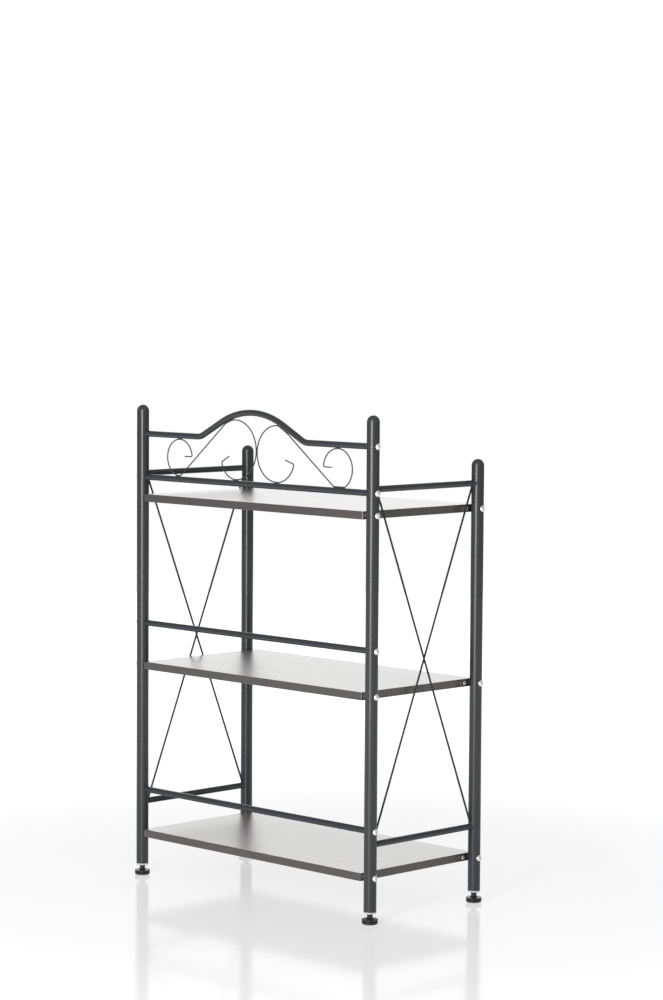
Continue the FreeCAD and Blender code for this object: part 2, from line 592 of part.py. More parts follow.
def scroll_runs(side, sign):
    """Works out a scroll's centre line from the small loop's tip. The small loop touches the arch's
    straight end, and the large one the top back rail and the other scroll. The wire bends where
    it comes to the rail and to the arch, and where it leaves them."""
    meeting = value("sizes.scroll_offset")
    reach = value("sizes.scroll_reach")
    loop_radius = value(f"worked.loop_radius_{side}")
    loop_height = value(f"worked.loop_height_{side}")
    bow_radius = value(f"worked.bow_radius_{side}")
    bow_height = value(f"worked.bow_height_{side}")
    bow_half = value(f"worked.bow_half_{side}")
    curl_radius = value(f"sizes.scroll_curl_radius_{side}")
    curl_angle = value(f"sizes.scroll_curl_angle_{side}")
    corner = value("sizes.scroll_corner")
    shoulder = value("sizes.scroll_shoulder")
    rest_radius = value("worked.rest_radius")
    hook = value("sizes.scroll_hook_radius")
    start_angle = value(f"sizes.scroll_start_angle_{side}")
    tip_slope = value(f"sizes.scroll_tip_slope_{side}")

    def at(centre, radius, angle):
        turn = math.radians(angle)
        return centre + flat(radius * math.cos(turn), radius * math.sin(turn))

    def direction(vector):
        return math.degrees(math.atan2(vector.y, vector.x))

    loop = flat(reach, loop_height)
    bow = flat(bow_half, bow_height)
    crown = flat(sign * (value("sizes.arch_offset") - meeting), value("worked.arch_centre"))
    rest_start = value(f"worked.rest_start_{side}")
    rest_end = rest_start - value(f"worked.rest_span_{side}")
    coming = at(crown, value("worked.bend_far"), rest_start)
    leaving = at(crown, value("worked.bend_far"), rest_end)
    bow_start = direction(coming - bow)
    outer = flat(value(f"worked.outer_reach_{side}"), crown.y + value("worked.inner_rise"))
    inner = outer - flat(value(f"sizes.scroll_run_{side}"), 0)
    loop_end = direction(outer - loop)
    lift = -direction(inner - leaving)
    slant = lift + math.degrees(math.asin((corner + shoulder) / (inner - leaving).Length))
    hook_centre = at(loop, loop_radius - hook, 180 - start_angle)
    tip_start = hook_centre + flat(value("sizes.scroll_tip_small"), -hook)
    curl = flat(bow.x, bow.y - bow_radius + curl_radius)
    curl_end = 270 + curl_angle
    last_centre = at(curl, curl_radius - hook, curl_end)
    last_angle = 90 - tip_slope
    tip_end = at(last_centre, hook, last_angle)
    last_tip = at(tip_end, value("sizes.scroll_tip_large"), 180 - tip_slope)
    runs = [
        ("line", tip_start, hook_centre + flat(0, -hook)),
        ("arc", hook_centre, hook, 270, 180 - start_angle, -1),
        ("arc", loop, loop_radius, 180 - start_angle, loop_end, -1),
        ("arc", outer, corner, loop_end, 270, -1),
        ("line", outer + flat(0, -corner), inner + flat(0, -corner)),
        ("arc", inner, corner, 270, 270 - slant, -1),
        ("line", at(inner, corner, 270 - slant), at(leaving, shoulder, 90 - slant)),
        ("arc", leaving, shoulder, 90 - slant, rest_end, 1),
        ("arc", crown, rest_radius, rest_end, rest_start, 1),
        ("arc", coming, shoulder, rest_start, bow_start, 1),
        ("arc", bow, bow_radius, bow_start, 270, 1),
        ("arc", curl, curl_radius, 270, curl_end, 1),
        ("arc", last_centre, hook, curl_end, last_angle, 1),
        ("line", tip_end, last_tip),
    ]

    def on_side(point):
        return flat(meeting + sign * point.x, point.y)

    def sided(run):
        if run[0] == "line":
            return ("line", on_side(run[1]), on_side(run[2]))
        kind, centre, radius, begin, end, turn = run
        if sign < 0:
            begin, end = 180 - begin, 180 - end
        return (kind, on_side(centre), radius, begin, end, turn * sign)

    return [sided(run) for run in runs]


for side, side_sign in sides:
    scroll = new_body(f"scroll_{side}")
    path = new_sketch(scroll, "path", "XZ_Plane", "-worked.post_y")
    drawn = draw_route(path, scroll_runs(side, side_sign))
    tip, hook, loop, outer, run, inner, _, leaving, rest, coming, bow, curl, last_hook, last_tip = drawn
    for level in (tip, run):
        path.addConstraint(Sketcher.Constraint("Horizontal", level[0]))
    hold(path, "Distance", tip[0], formula="sizes.scroll_tip_small")
    hold(path, "Distance", run[0], formula=f"sizes.scroll_run_{side}")
    pin(path, run[0], 1, None, "worked.scroll_floor + worked.wire_inset")
    hold(path, "Distance", last_tip[0], formula="sizes.scroll_tip_large")
    slope = f"sizes.scroll_tip_slope_{side}"
    hold(path, "Angle", last_tip[0], formula=slope if side_sign < 0 else f"180 - {slope}")
    for bend in (hook, last_hook):
        hold(path, "Radius", bend[0], formula="sizes.scroll_hook_radius")
    for bend in (outer, inner):
        hold(path, "Radius", bend[0], formula="sizes.scroll_corner")
    hold(path, "Radius", loop[0], formula=f"worked.loop_radius_{side}")
    pin(path, loop[0], 3, f"worked.loop_x_{side}", f"worked.loop_height_{side}")
    pin(path, loop[0], loop[1], None, f"worked.loop_start_{side}")
    for bend in (leaving, coming):
        hold(path, "Radius", bend[0], formula="sizes.scroll_shoulder")
    hold(path, "Radius", rest[0], formula="worked.rest_radius")
    hold(path, "Angle", rest[0], formula=f"worked.rest_span_{side}")
    pin(path, rest[0], 3, "sizes.arch_offset", "worked.arch_centre")
    hold(path, "Radius", bow[0], formula=f"worked.bow_radius_{side}")
    pin(path, bow[0], 3, f"worked.bow_x_{side}", f"worked.bow_height_{side}")
    pin(path, bow[0], bow[2], f"worked.bow_x_{side}")
    hold(path, "Radius", curl[0], formula=f"sizes.scroll_curl_radius_{side}")
    pin(path, curl[0], curl[2], None, f"worked.curl_end_{side}")
    swept(scroll, path, ["sizes.scroll_wire"])

# Boards: round upright corners, bevelled faces and blind holes in both ends


def edges_at(shape, *levels):
    """Names the level edges of a shape at some heights."""
    tolerance = 1e-3
    return [f"Edge{number}" for number, edge in enumerate(shape.Edges, start=1)
            if any(abs(edge.BoundBox.ZMin - level) < tolerance
                   and abs(edge.BoundBox.ZMax - level) < tolerance for level in levels)]


def drill(board, tier, name, y, diameter, depth):
    """Drills two blind holes into the right end of a board."""
    holes = new_sketch(board, name, "YZ_Plane", "worked.board_half_length")
    for _, end_sign in ends:
        draw_circle(holes, signed(end_sign, y), f"worked.bolt_height_{tier}", diameter)
    drilled = feature(board, "Pocket", holes, f"{name}_drilled")
    drilled.setExpression("Length", depth)
    return drilled


board_ends = ("worked.board_half_length", "worked.board_half_depth")
corner_starts = ("worked.board_half_length - sizes.board_corner",
                 "worked.board_half_depth - sizes.board_corner")
board_outline = []
for x_sign, y_sign in ((1, -1), (1, 1), (-1, 1), (-1, -1)):
    along_x = (signed(x_sign, corner_starts[0]), signed(y_sign, board_ends[1]))
    along_y = (signed(x_sign, board_ends[0]), signed(y_sign, corner_starts[1]))
    board_outline += [along_x, along_y] if x_sign != y_sign else [along_y, along_x]

for tier in tiers:
    board = new_body(f"shelf_{tier}")
    outline = new_sketch(board, "outline", "XY_Plane",
                         f"worked.board_top_{tier} - sizes.board_thickness")
    draw_outline(outline, board_outline,
                 {number: "sizes.board_corner" for number in range(0, len(board_outline), 2)})
    block = pad(board, outline, "sizes.board_thickness")
    doc.recompute()
    bevel = board.newObject("PartDesign::Chamfer", f"{board.Name}_bevel")
    bevel.Base = (block, edges_at(block.Shape, block.Shape.BoundBox.ZMin, block.Shape.BoundBox.ZMax))
    bevel.setExpression("Size", "sizes.board_edge")
    both_ends = [
        drill(board, tier, "insert_holes", "worked.post_y", "worked.insert_bore",
              "sizes.insert_length + sizes.fit_clearance"),
        drill(board, tier, "screw_holes", "worked.screw_y", "worked.screw_hole",
              "worked.screw_depth"),
    ]
    mirrored = board.newObject("PartDesign::Mirrored", f"{board.Name}_both_ends")
    mirrored.Originals = both_ends
    mirrored.MirrorPlane = (origin_feature(board, "YZ_Plane"), [""])
    board.Tip = mirrored

# Bolts, screws, inserts, nuts and brackets: one of each is drawn about its own axis, with the
# height above the rack's side as Z, and copied to every place where the rack has one


def draw_screw(name, kind, shank, length):
    """Makes a bolt or a screw with a domed head, whose flat side is at height 0."""
    screw = new_body(name, is_piece=False)
    rim = f"sizes.{kind}_head_diameter / 2"
    turned(screw, (
        ("0", f"-{length}"),
        (f"{shank} / 2", f"-{length}"),
        (f"{shank} / 2", "0"),
        (rim, "0"),
        (rim, f"sizes.{kind}_head_rim"),
        ("0", f"sizes.{kind}_head_height"),
    ), {4: f"worked.{kind}_dome"})
    return screw


def draw_sleeve(name, outer_radius, length):
    """Makes a threaded sleeve whose outer end is at height 0."""
    sleeve = new_body(name, is_piece=False)
    turned(sleeve, (
        ("worked.thread_bore / 2", f"-{length}"),
        (outer_radius, f"-{length}"),
        (outer_radius, "0"),
        ("worked.thread_bore / 2", "0"),
    ))
    return sleeve


def draw_bracket():
    """Makes a bracket: an ear with round ends, a seat for the post, and a bolt and a screw hole.
    The bolt is on its own axis, and the ear lies on the board's end at height 0."""
    bracket = new_body("bracket", is_piece=False)
    ear = new_sketch(bracket, "ear", "XY_Plane")
    radius = "worked.bracket_radius"
    draw_outline(ear, [
        (radius, "-worked.ear_end"),
        (radius, "0"),
        ("0", radius),
        (f"-{radius}", "0"),
        (f"-{radius}", "-worked.ear_end"),
        ("0", f"-worked.ear_end - {radius}"),
    ], {1: radius, 2: radius, 4: radius, 5: radius})
    plate = pad(bracket, ear, "sizes.bracket_thickness")
    doc.recompute()
    rounding = bracket.newObject("PartDesign::Fillet", "bracket_rounding")
    rounding.Base = (plate, edges_at(plate.Shape, plate.Shape.BoundBox.ZMax))
    rounding.setExpression("Radius", "sizes.bracket_edge")
    seat = new_sketch(bracket, "seat", "XY_Plane")
    draw_circle(seat, "0", "0", "sizes.bracket_seat")
    raised = feature(bracket, "Pad", seat, "raised")
    raised.setExpression("Length", "sizes.board_gap + worked.seat_wing")
    post_line = new_sketch(bracket, "post_line", "YZ_Plane")
    draw_circle(post_line, "0", "sizes.board_gap + worked.post_radius", "worked.cope_diameter")
    cut_through(bracket, post_line, "hollowed")
    holes = new_sketch(bracket, "holes", "XY_Plane")
    draw_circle(holes, "0", "0", "sizes.bolt_hole")
    draw_circle(holes, "0", "-sizes.screw_offset", "worked.screw_hole")
    cut_through(bracket, holes, "drilled")
    return bracket


shelf_bolt = draw_screw("shelf_bolt", "bolt", "sizes.bolt_thread", "worked.shelf_bolt_length")
rail_bolt = draw_screw("rail_bolt", "bolt", "sizes.bolt_thread", "worked.rail_bolt_length")
wood_screw = draw_screw("wood_screw", "screw", "sizes.screw_shank", "sizes.screw_length")
insert = draw_sleeve("insert", "sizes.insert_diameter / 2", "sizes.insert_length")
nut = draw_sleeve("nut", "worked.rail_bore / 2 - sizes.fit_clearance", "sizes.nut_length")
bracket = draw_bracket()

every_corner = [(side_sign, end_sign) for _, side_sign in sides for _, end_sign in ends]
back_corners = [(side_sign, 1) for _, side_sign in sides]
for tier in tiers:
    for name, source, x, y in (
        ("shelf_bolts", shelf_bolt, "worked.bolt_seat", "worked.post_y"),
        ("shelf_brackets", bracket, "worked.board_half_length", "worked.post_y"),
        ("shelf_inserts", insert, "worked.board_half_length", "worked.post_y"),
        ("shelf_screws", wood_screw, "worked.screw_seat", "worked.screw_y"),
    ):
        copies(f"{name}_{tier}", source, every_corner, x, y, f"worked.bolt_height_{tier}")

rail_heights = [(f"back_rail_{{}}_{tier}", f"worked.back_rail_height_{tier}") for tier in tiers]
for name, height in rail_heights + [("arch_{}", "worked.arch_height")]:
    for word, source, x in (("bolts", rail_bolt, "worked.bolt_seat"),
                            ("nuts", nut, "worked.nut_face")):
        copies(name.format(word), source, back_corners, x, "worked.post_y", height)

# Levelling feet: an end plug in the post, a stud that screws into it and a base under the stud


def draw_foot_plug(body):
    """Turns the plug that closes the lower end of a post."""
    bore = "sizes.stud_diameter / 2 + sizes.running_clearance"
    turned(body, (
        (bore, "worked.foot_flange_bottom"),
        ("worked.post_radius - sizes.foot_flange_bevel", "worked.foot_flange_bottom"),
        ("worked.post_radius", "worked.foot_flange_bottom + sizes.foot_flange_bevel"),
        ("worked.post_radius", "worked.post_bottom"),
        ("worked.plug_radius", "worked.post_bottom"),
        ("worked.plug_radius", "worked.post_bottom + sizes.foot_plug_length"),
        (bore, "worked.post_bottom + sizes.foot_plug_length"),
    ))


def draw_foot_stud(body):
    """Turns the stud with the collar that its base holds."""
    turned(body, (
        ("0", "sizes.foot_floor"),
        ("sizes.stud_collar_diameter / 2", "sizes.foot_floor"),
        ("sizes.stud_collar_diameter / 2", "worked.collar_top"),
        ("sizes.stud_diameter / 2", "worked.collar_top"),
        ("sizes.stud_diameter / 2", "worked.stud_top"),
        ("0", "worked.stud_top"),
    ))


def draw_foot_base(body):
    """Turns the base with its bevel, groove, flared hub and the room for the stud."""
    rim = "sizes.foot_disc_diameter / 2"
    hub = "sizes.foot_hub_diameter / 2"
    middle = "(sizes.foot_disc_height + sizes.foot_bevel) / 2"
    bore = "sizes.stud_diameter / 2 + sizes.running_clearance"
    room = "sizes.stud_collar_diameter / 2 + sizes.running_clearance"
    turned(body, (
        ("0", "0"),
        (f"{rim} - sizes.foot_bevel", "0"),
        (rim, "sizes.foot_bevel"),
        (rim, f"{middle} - sizes.foot_groove"),
        (f"{rim} - sizes.foot_groove", middle),
        (rim, f"{middle} + sizes.foot_groove"),
        (rim, "sizes.foot_disc_height"),
        (f"{hub} + sizes.foot_flare", "sizes.foot_disc_height"),
        (hub, "sizes.foot_disc_height + sizes.foot_flare"),
        (hub, "worked.foot_hub_top"),
        (bore, "worked.foot_hub_top"),
        (bore, "worked.collar_top + sizes.running_clearance"),
        (room, "worked.collar_top + sizes.running_clearance"),
        (room, "sizes.foot_floor - sizes.running_clearance"),
        ("0", "sizes.foot_floor - sizes.running_clearance"),
    ))


for end, end_sign in ends:
    for side, side_sign in sides:
        for name, draw in (("foot_plug", draw_foot_plug), ("foot_stud", draw_foot_stud),
                           ("foot_base", draw_foot_base)):
            body = new_body(f"{name}_{end}_{side}")
            draw(body)
            place(body, signed(side_sign, "worked.post_x"), signed(end_sign, "worked.post_y"))

# Every object has to be sound before any piece is written

doc.recompute()
for item in doc.Objects:
    if "Invalid" in item.State or "Error" in item.State:
        raise RuntimeError(f"{item.Name} failed: {item.getStatusString()}")
for piece in pieces:
    if piece.Shape.isNull() or not piece.Shape.isValid():
        raise RuntimeError(f"{piece.Name} has no sound shape")

os.makedirs("parts", exist_ok=True)
for piece in pieces:
    piece.Label = piece.Name
    piece.Shape.exportStep(f"parts/{piece.Label}.step")
print(f"{len(pieces)} pieces, {sum(len(piece.Shape.Solids) for piece in pieces)} solids")
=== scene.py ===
import json
import math
import random

import bmesh
import bpy
from mathutils import Matrix, Vector
from mathutils.bvhtree import BVHTree


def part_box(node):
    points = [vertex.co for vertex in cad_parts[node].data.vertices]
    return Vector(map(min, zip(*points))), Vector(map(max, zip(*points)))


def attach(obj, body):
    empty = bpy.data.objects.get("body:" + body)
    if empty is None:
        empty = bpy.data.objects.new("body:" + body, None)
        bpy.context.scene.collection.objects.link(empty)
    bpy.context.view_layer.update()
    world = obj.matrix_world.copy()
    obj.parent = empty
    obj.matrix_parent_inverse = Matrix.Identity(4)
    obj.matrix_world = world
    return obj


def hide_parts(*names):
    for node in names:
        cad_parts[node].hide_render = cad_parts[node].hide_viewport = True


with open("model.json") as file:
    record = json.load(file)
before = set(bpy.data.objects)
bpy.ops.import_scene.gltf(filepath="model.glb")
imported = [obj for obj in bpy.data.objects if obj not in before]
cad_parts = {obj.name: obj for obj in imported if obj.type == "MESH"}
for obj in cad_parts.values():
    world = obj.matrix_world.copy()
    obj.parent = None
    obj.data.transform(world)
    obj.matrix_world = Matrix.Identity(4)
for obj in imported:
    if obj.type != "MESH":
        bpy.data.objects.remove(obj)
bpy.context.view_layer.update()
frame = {"nodes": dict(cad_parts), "record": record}
print("frame loaded:", len(frame["nodes"]), "nodes")

mm = 0.001
sides = ("left", "right")
ends = {"back": 1, "front": -1}
tiers = ("top", "middle", "bottom")

# Small helpers for shader trees

white = (1.0, 1.0, 1.0)
mixSockets = {"RGBA": (6, 7, 2), "FLOAT": (2, 3, 0)}   # of a Mix node: first, second, result


def addNode(tree, kind, **settings):
    node = tree.nodes.new(kind)
    for name, value in settings.items():
        setattr(node, name, value)
    return node


def join(tree, source, target):
    tree.links.new(source, target)


def feed(tree, socket, value):
    # a number or a colour is set on the socket, and another node's output is joined to it
    if isinstance(value, (int, float)):
        socket.default_value = value
    elif isinstance(value, tuple):
        socket.default_value = (*value, 1.0)
    else:
        join(tree, value, socket)


def newGroup(name, inputs, outputs):
    group = bpy.data.node_groups.new(name, "ShaderNodeTree")
    for way, labels in (("INPUT", inputs), ("OUTPUT", outputs)):
        for label in labels:
            group.interface.new_socket(name=label, in_out=way, socket_type="NodeSocketFloat")
    return group, group.nodes.new("NodeGroupInput"), group.nodes.new("NodeGroupOutput")


def useGroup(tree, group, values):
    node = addNode(tree, "ShaderNodeGroup", node_tree=group)
    for label, value in values.items():
        node.inputs[label].default_value = value
    return node


def objectPlace(tree):
    return addNode(tree, "ShaderNodeTexCoord").outputs["Object"]


def squeezed(tree, place, scale):
    node = addNode(tree, "ShaderNodeMapping")
    node.inputs["Scale"].default_value = scale
    join(tree, place, node.inputs["Vector"])
    return node.outputs["Vector"]


def noiseNode(tree, place, scale):
    node = addNode(tree, "ShaderNodeTexNoise")
    join(tree, place, node.inputs["Vector"])
    feed(tree, node.inputs["Scale"], scale)
    return node


def mathNode(tree, operation, *values):
    node = addNode(tree, "ShaderNodeMath", operation=operation)
    for socket, value in zip(node.inputs, values):
        feed(tree, socket, value)
    return node.outputs[0]


def weightedSum(tree, first, firstShare, second, secondShare):
    return mathNode(tree, "ADD", mathNode(tree, "MULTIPLY", first, firstShare),
                    mathNode(tree, "MULTIPLY", second, secondShare))


def rangeNode(tree, source, low, high, start=0.0, stop=1.0, blend="LINEAR"):
    # from low at the start to high at the stop
    node = addNode(tree, "ShaderNodeMapRange", interpolation_type=blend)
    settings = {"From Min": start, "From Max": stop, "To Min": low, "To Max": high}
    for label, value in settings.items():
        node.inputs[label].default_value = value
    join(tree, source, node.inputs["Value"])
    return node.outputs[0]


def mixNode(tree, kind, mask, first, second):
    node = addNode(tree, "ShaderNodeMix", data_type=kind)
    firstSocket, secondSocket, result = mixSockets[kind]
    join(tree, mask, node.inputs["Factor"])
    feed(tree, node.inputs[firstSocket], first)
    feed(tree, node.inputs[secondSocket], second)
    return node.outputs[result]


# Shared effects

coatSkin = {
    "cloudScale": 14.0,
    "specksInPeel": 0.35,
    "specksInTone": 0.4,
    "cloudsInTone": 0.6,
}


def makeCoatGroup():
    # orange peel and fine specks of a sprayed or moulded skin
    group, inside, outside = newGroup("coatSkin", ("PeelScale", "SpeckScale"), ("Tone", "Peel"))
    place = objectPlace(group)
    peel = noiseNode(group, place, inside.outputs["PeelScale"]).outputs["Fac"]
    speck = noiseNode(group, place, inside.outputs["SpeckScale"]).outputs["Fac"]
    cloud = noiseNode(group, place, coatSkin["cloudScale"]).outputs["Fac"]
    fine = mathNode(group, "MULTIPLY", speck, coatSkin["specksInPeel"])
    join(group, mathNode(group, "ADD", peel, fine), outside.inputs["Peel"])
    tone = weightedSum(group, speck, coatSkin["specksInTone"], cloud, coatSkin["cloudsInTone"])
    join(group, tone, outside.inputs["Tone"])
    return group


boardGrain = {
    "layers": {              # which scale, how far drawn out along the board, and detail
        "bands": ("BandScale", 0.035, 3.0),
        "streaks": ("StreakScale", 0.02, 4.0),
        "pores": ("StreakScale", 0.045, 2.0),
    },
    "distortion": 0.35,
    "bandShare": 0.6,
    "streakShare": 0.4,
    "poreRange": (0.58, 0.72),
}


def makeGrainGroup():
    # lengthwise wood figure: broad bands, fine streaks and short pores
    group, inside, outside = newGroup(
        "boardGrain", ("BandScale", "StreakScale"), ("Figure", "Pores"))
    place = objectPlace(group)
    layers = {}
    for layer, (label, stretch, detail) in boardGrain["layers"].items():
        drawnOut = squeezed(group, place, (stretch, 1.0, 1.0))
        noise = noiseNode(group, drawnOut, inside.outputs[label])
        noise.inputs["Detail"].default_value = detail
        noise.inputs["Distortion"].default_value = boardGrain["distortion"]
        layers[layer] = noise.outputs["Fac"]
    figure = weightedSum(group, layers["bands"], boardGrain["bandShare"],
                         layers["streaks"], boardGrain["streakShare"])
    pores = rangeNode(group, layers["pores"], 0.0, 1.0, *boardGrain["poreRange"])
    join(group, figure, outside.inputs["Figure"])
    join(group, pores, outside.inputs["Pores"])
    return group


platingMarks = {
    "lineSqueeze": (1.0, 0.15, 0.15),
}


def makeMarksGroup():
    # turning marks and handling smudges on plated metal
    group, inside, outside = newGroup(
        "platingMarks", ("LineScale", "SmudgeScale"), ("Lines", "Smudge"))
    place = objectPlace(group)
    drawnOut = squeezed(group, place, platingMarks["lineSqueeze"])
    lines = noiseNode(group, drawnOut, inside.outputs["LineScale"])
    smudge = noiseNode(group, place, inside.outputs["SmudgeScale"])
    join(group, lines.outputs["Fac"], outside.inputs["Lines"])
    join(group, smudge.outputs["Fac"], outside.inputs["Smudge"])
    return group


coatGroup = makeCoatGroup()
grainGroup = makeGrainGroup()
marksGroup = makeMarksGroup()
print("shader groups ready")

# Finishes


def newFinish(name, settings):
    finish = bpy.data.materials.new(name)
    finish.use_nodes = True
    tree = finish.node_tree
    tree.nodes.clear()
    shader = addNode(tree, "ShaderNodeBsdfPrincipled")
    output = addNode(tree, "ShaderNodeOutputMaterial")
    join(tree, shader.outputs[0], output.inputs["Surface"])
    for label in ("Metallic", "Specular IOR Level", "Coat Roughness"):
        if label in settings:
            shader.inputs[label].default_value = settings[label]
    return finish, tree, shader


def addBump(tree, shader, height, depth):
    bump = addNode(tree, "ShaderNodeBump")
    bump.inputs["Distance"].default_value = depth
    bump.inputs["Strength"].default_value = 1.0
    join(tree, height, bump.inputs["Height"])
    join(tree, bump.outputs["Normal"], shader.inputs["Normal"])


def makeCoat(name, settings):
    finish, tree, shader = newFinish(name, settings)
    skin = useGroup(tree, coatGroup, settings["skin"])
    colour = mixNode(tree, "RGBA", skin.outputs["Tone"], settings["dark"], settings["light"])
    join(tree, colour, shader.inputs["Base Color"])
    roughness = rangeNode(tree, skin.outputs["Peel"], *settings["roughness"])
    join(tree, roughness, shader.inputs["Roughness"])
    addBump(tree, shader, skin.outputs["Peel"], settings["peelDepth"])
    return finish


def makePlating(name, settings):
    finish, tree, shader = newFinish(name, settings)
    marks = useGroup(tree, marksGroup, settings["marks"])
    colour = mixNode(tree, "RGBA", marks.outputs["Smudge"], settings["dark"], settings["light"])
    join(tree, colour, shader.inputs["Base Color"])
    roughness = rangeNode(tree, marks.outputs["Smudge"], *settings["roughness"])
    join(tree, roughness, shader.inputs["Roughness"])
    addBump(tree, shader, marks.outputs["Lines"], settings["lineDepth"])
    return finish


def makeLaminate(name, settings):
    # the faces carry the wood figure, and the banded sides a plainer one, painted darker as shade
    # on the sides
    finish, tree, shader = newFinish(name, settings)
    grain = useGroup(tree, grainGroup, settings["grain"])
    figure, pores = grain.outputs["Figure"], grain.outputs["Pores"]
    face = mixNode(tree, "RGBA", figure, settings["faceDark"], settings["faceLight"])
    face = mixNode(tree, "RGBA", pores, face, settings["pore"])
    # painted shade: the sides take a darker colour than the upright faces
    edge = mixNode(tree, "RGBA", figure, settings["sideShadeDark"], settings["sideShadeLight"])
    surface = addNode(tree, "ShaderNodeNewGeometry")
    parts = addNode(tree, "ShaderNodeSeparateXYZ")
    join(tree, surface.outputs["True Normal"], parts.inputs[0])
    upright = mathNode(tree, "ABSOLUTE", parts.outputs["Z"])
    isFace = mathNode(tree, "GREATER_THAN", upright, settings["faceAbove"])
    join(tree, mixNode(tree, "RGBA", isFace, edge, face), shader.inputs["Base Color"])
    join(tree, rangeNode(tree, figure, *settings["roughness"]), shader.inputs["Roughness"])
    join(tree, rangeNode(tree, figure, *settings["overlay"]), shader.inputs["Coat Weight"])
    addBump(tree, shader, pores, settings["poreDepth"])
    return finish


paintSkin = {"PeelScale": 420.0, "SpeckScale": 2600.0}
plasticSkin = {"PeelScale": 700.0, "SpeckScale": 3200.0}
zincMarks = {"LineScale": 700.0, "SmudgeScale": 200.0}

framePaint = {
    "dark": (0.020, 0.0215, 0.0255),
    "light": (0.028, 0.030, 0.035),
    "roughness": (0.30, 0.32),
    "peelDepth": 0.002 * mm,
    "skin": paintSkin,
    "Specular IOR Level": 0.5,
}
rodPaint = {
    "dark": (0.011, 0.012, 0.014),
    "light": (0.016, 0.017, 0.020),
    "roughness": (0.26, 0.30),
    "peelDepth": 0.002 * mm,
    "skin": paintSkin,
    "Specular IOR Level": 0.4,
}
blackPlastic = {
    "dark": (0.006, 0.006, 0.007),
    "light": (0.012, 0.012, 0.013),
    "roughness": (0.30, 0.42),
    "peelDepth": 0.02 * mm,
    "skin": plasticSkin,
    "Specular IOR Level": 0.5,
}
capPlastic = {
    "dark": (0.024, 0.025, 0.027),
    "light": (0.036, 0.037, 0.040),
    "roughness": (0.30, 0.42),
    "peelDepth": 0.01 * mm,
    "skin": plasticSkin,
    "Specular IOR Level": 0.5,
}
greyPlastic = {
    "dark": (0.46, 0.47, 0.48),
    "light": (0.56, 0.57, 0.58),
    "roughness": (0.36, 0.46),
    "peelDepth": 0.02 * mm,
    "skin": plasticSkin,
    "Specular IOR Level": 0.5,
}
boltPlating = {
    "dark": (0.80, 0.80, 0.81),
    "light": (0.92, 0.92, 0.92),
    "roughness": (0.26, 0.38),
    "lineDepth": 0.004 * mm,
    "marks": {"LineScale": 900.0, "SmudgeScale": 160.0},
    "Metallic": 0.75,
}
zincPlating = {
    "dark": (0.52, 0.53, 0.55),
    "light": (0.66, 0.67, 0.68),
    "roughness": (0.40, 0.54),
    "lineDepth": 0.006 * mm,
    "marks": zincMarks,
    "Metallic": 1.0,
}
# plated zinc of the shelf brackets, painted darker as the shade between board ends and posts
shadedBracketZinc = {
    "dark": (0.125, 0.122, 0.117),
    "light": (0.185, 0.180, 0.174),
    "roughness": (0.44, 0.58),
    "lineDepth": 0.006 * mm,
    "marks": zincMarks,
    "Metallic": 1.0,
}
boardLaminate = {
    "faceDark": (0.066, 0.055, 0.051),
    "faceLight": (0.148, 0.126, 0.117),
    "pore": (0.044, 0.034, 0.028),
    # plainer figure of the banded sides, painted darker than the faces as shade on the sides
    "sideShadeDark": (0.034, 0.030, 0.028),
    "sideShadeLight": (0.052, 0.046, 0.043),
    "faceAbove": 0.9,          # upright part of the normal, from which a face counts as one
    "roughness": (0.345, 0.375),
    "poreDepth": 0.002 * mm,
    "grain": {"BandScale": 26.0, "StreakScale": 230.0},
    "Specular IOR Level": 0.5,
    "overlay": (0.62, 1.08),   # clear coat, which follows the figure
    "Coat Roughness": 0.36,
}

finishes = {
    "frame_paint": makeCoat("framePaint", framePaint),
    "black_plastic": makeCoat("blackPlastic", blackPlastic),
    "grey_plastic": makeCoat("greyPlastic", greyPlastic),
    "bolt_plating": makePlating("boltPlating", boltPlating),
    "zinc_plating": makePlating("zincPlating", zincPlating),
    "board_laminate": makeLaminate("boardLaminate", boardLaminate),
}

# nodes that look other than their slot, by how their names start
ownFinishes = {
    "brace_": makeCoat("rodPaint", rodPaint),
    "cap_": makeCoat("capPlastic", capPlastic),
    # the brackets take zinc painted darker as shade
    "shelf_brackets_": makePlating("shadedBracketZinc", shadedBracketZinc),
}

slotOf = {part["node"]: part["material_slot"] for part in frame["record"]["subparts"]}
for nodeName, nodeObject in frame["nodes"].items():
    own = [finish for start, finish in ownFinishes.items() if nodeName.startswith(start)]
    nodeObject.data.materials.clear()
    nodeObject.data.materials.append(own[0] if own else finishes[slotOf[nodeName]])
print("finishes on", len(slotOf), "nodes")

# Mesh helpers


def addPiece(name, mesh, body, slotName, nodes=()):
    piece = bpy.data.objects.new(name, mesh)
    bpy.context.scene.collection.objects.link(piece)
    mesh.materials.append(finishes[slotName])
    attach(piece, body)
    if nodes:
        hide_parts(*nodes)


def toMesh(name, bm, smoothAngle):
    bmesh.ops.recalc_face_normals(bm, faces=bm.faces[:])
    mesh = bpy.data.meshes.new(name)
    bm.to_mesh(mesh)
    bm.free()
    mesh.shade_smooth()
    mesh.set_sharp_from_angle(angle=math.radians(smoothAngle))
    return mesh


def bridgeRings(bm, rings, place):
    # rings are lists of points, and a ring of one point closes the end
    made = [[bm.verts.new(place @ Vector(point)) for point in ring] for ring in rings]
    for low, high in zip(made, made[1:]):
        count = max(len(low), len(high))
        for step in range(count):
            after = (step + 1) % count
            if len(low) == 1:
                bm.faces.new((low[0], high[after], high[step]))
            elif len(high) == 1:
                bm.faces.new((low[step], low[after], high[0]))
            else:
                bm.faces.new((low[step], low[after], high[after], high[step]))


def ringOf(radiusAt, height, steps):
    # points around the Z axis, at a radius that may change with the angle
    points = []
    for step in range(steps):
        angle = 2 * math.pi * step / steps
        radius = radiusAt(angle)
        points.append((radius * math.cos(angle), radius * math.sin(angle), height))
    return points


def circle(radius, height, steps):
    return ringOf(lambda angle: radius, height, steps)


# Bolts with a domed head and a hexagon socket

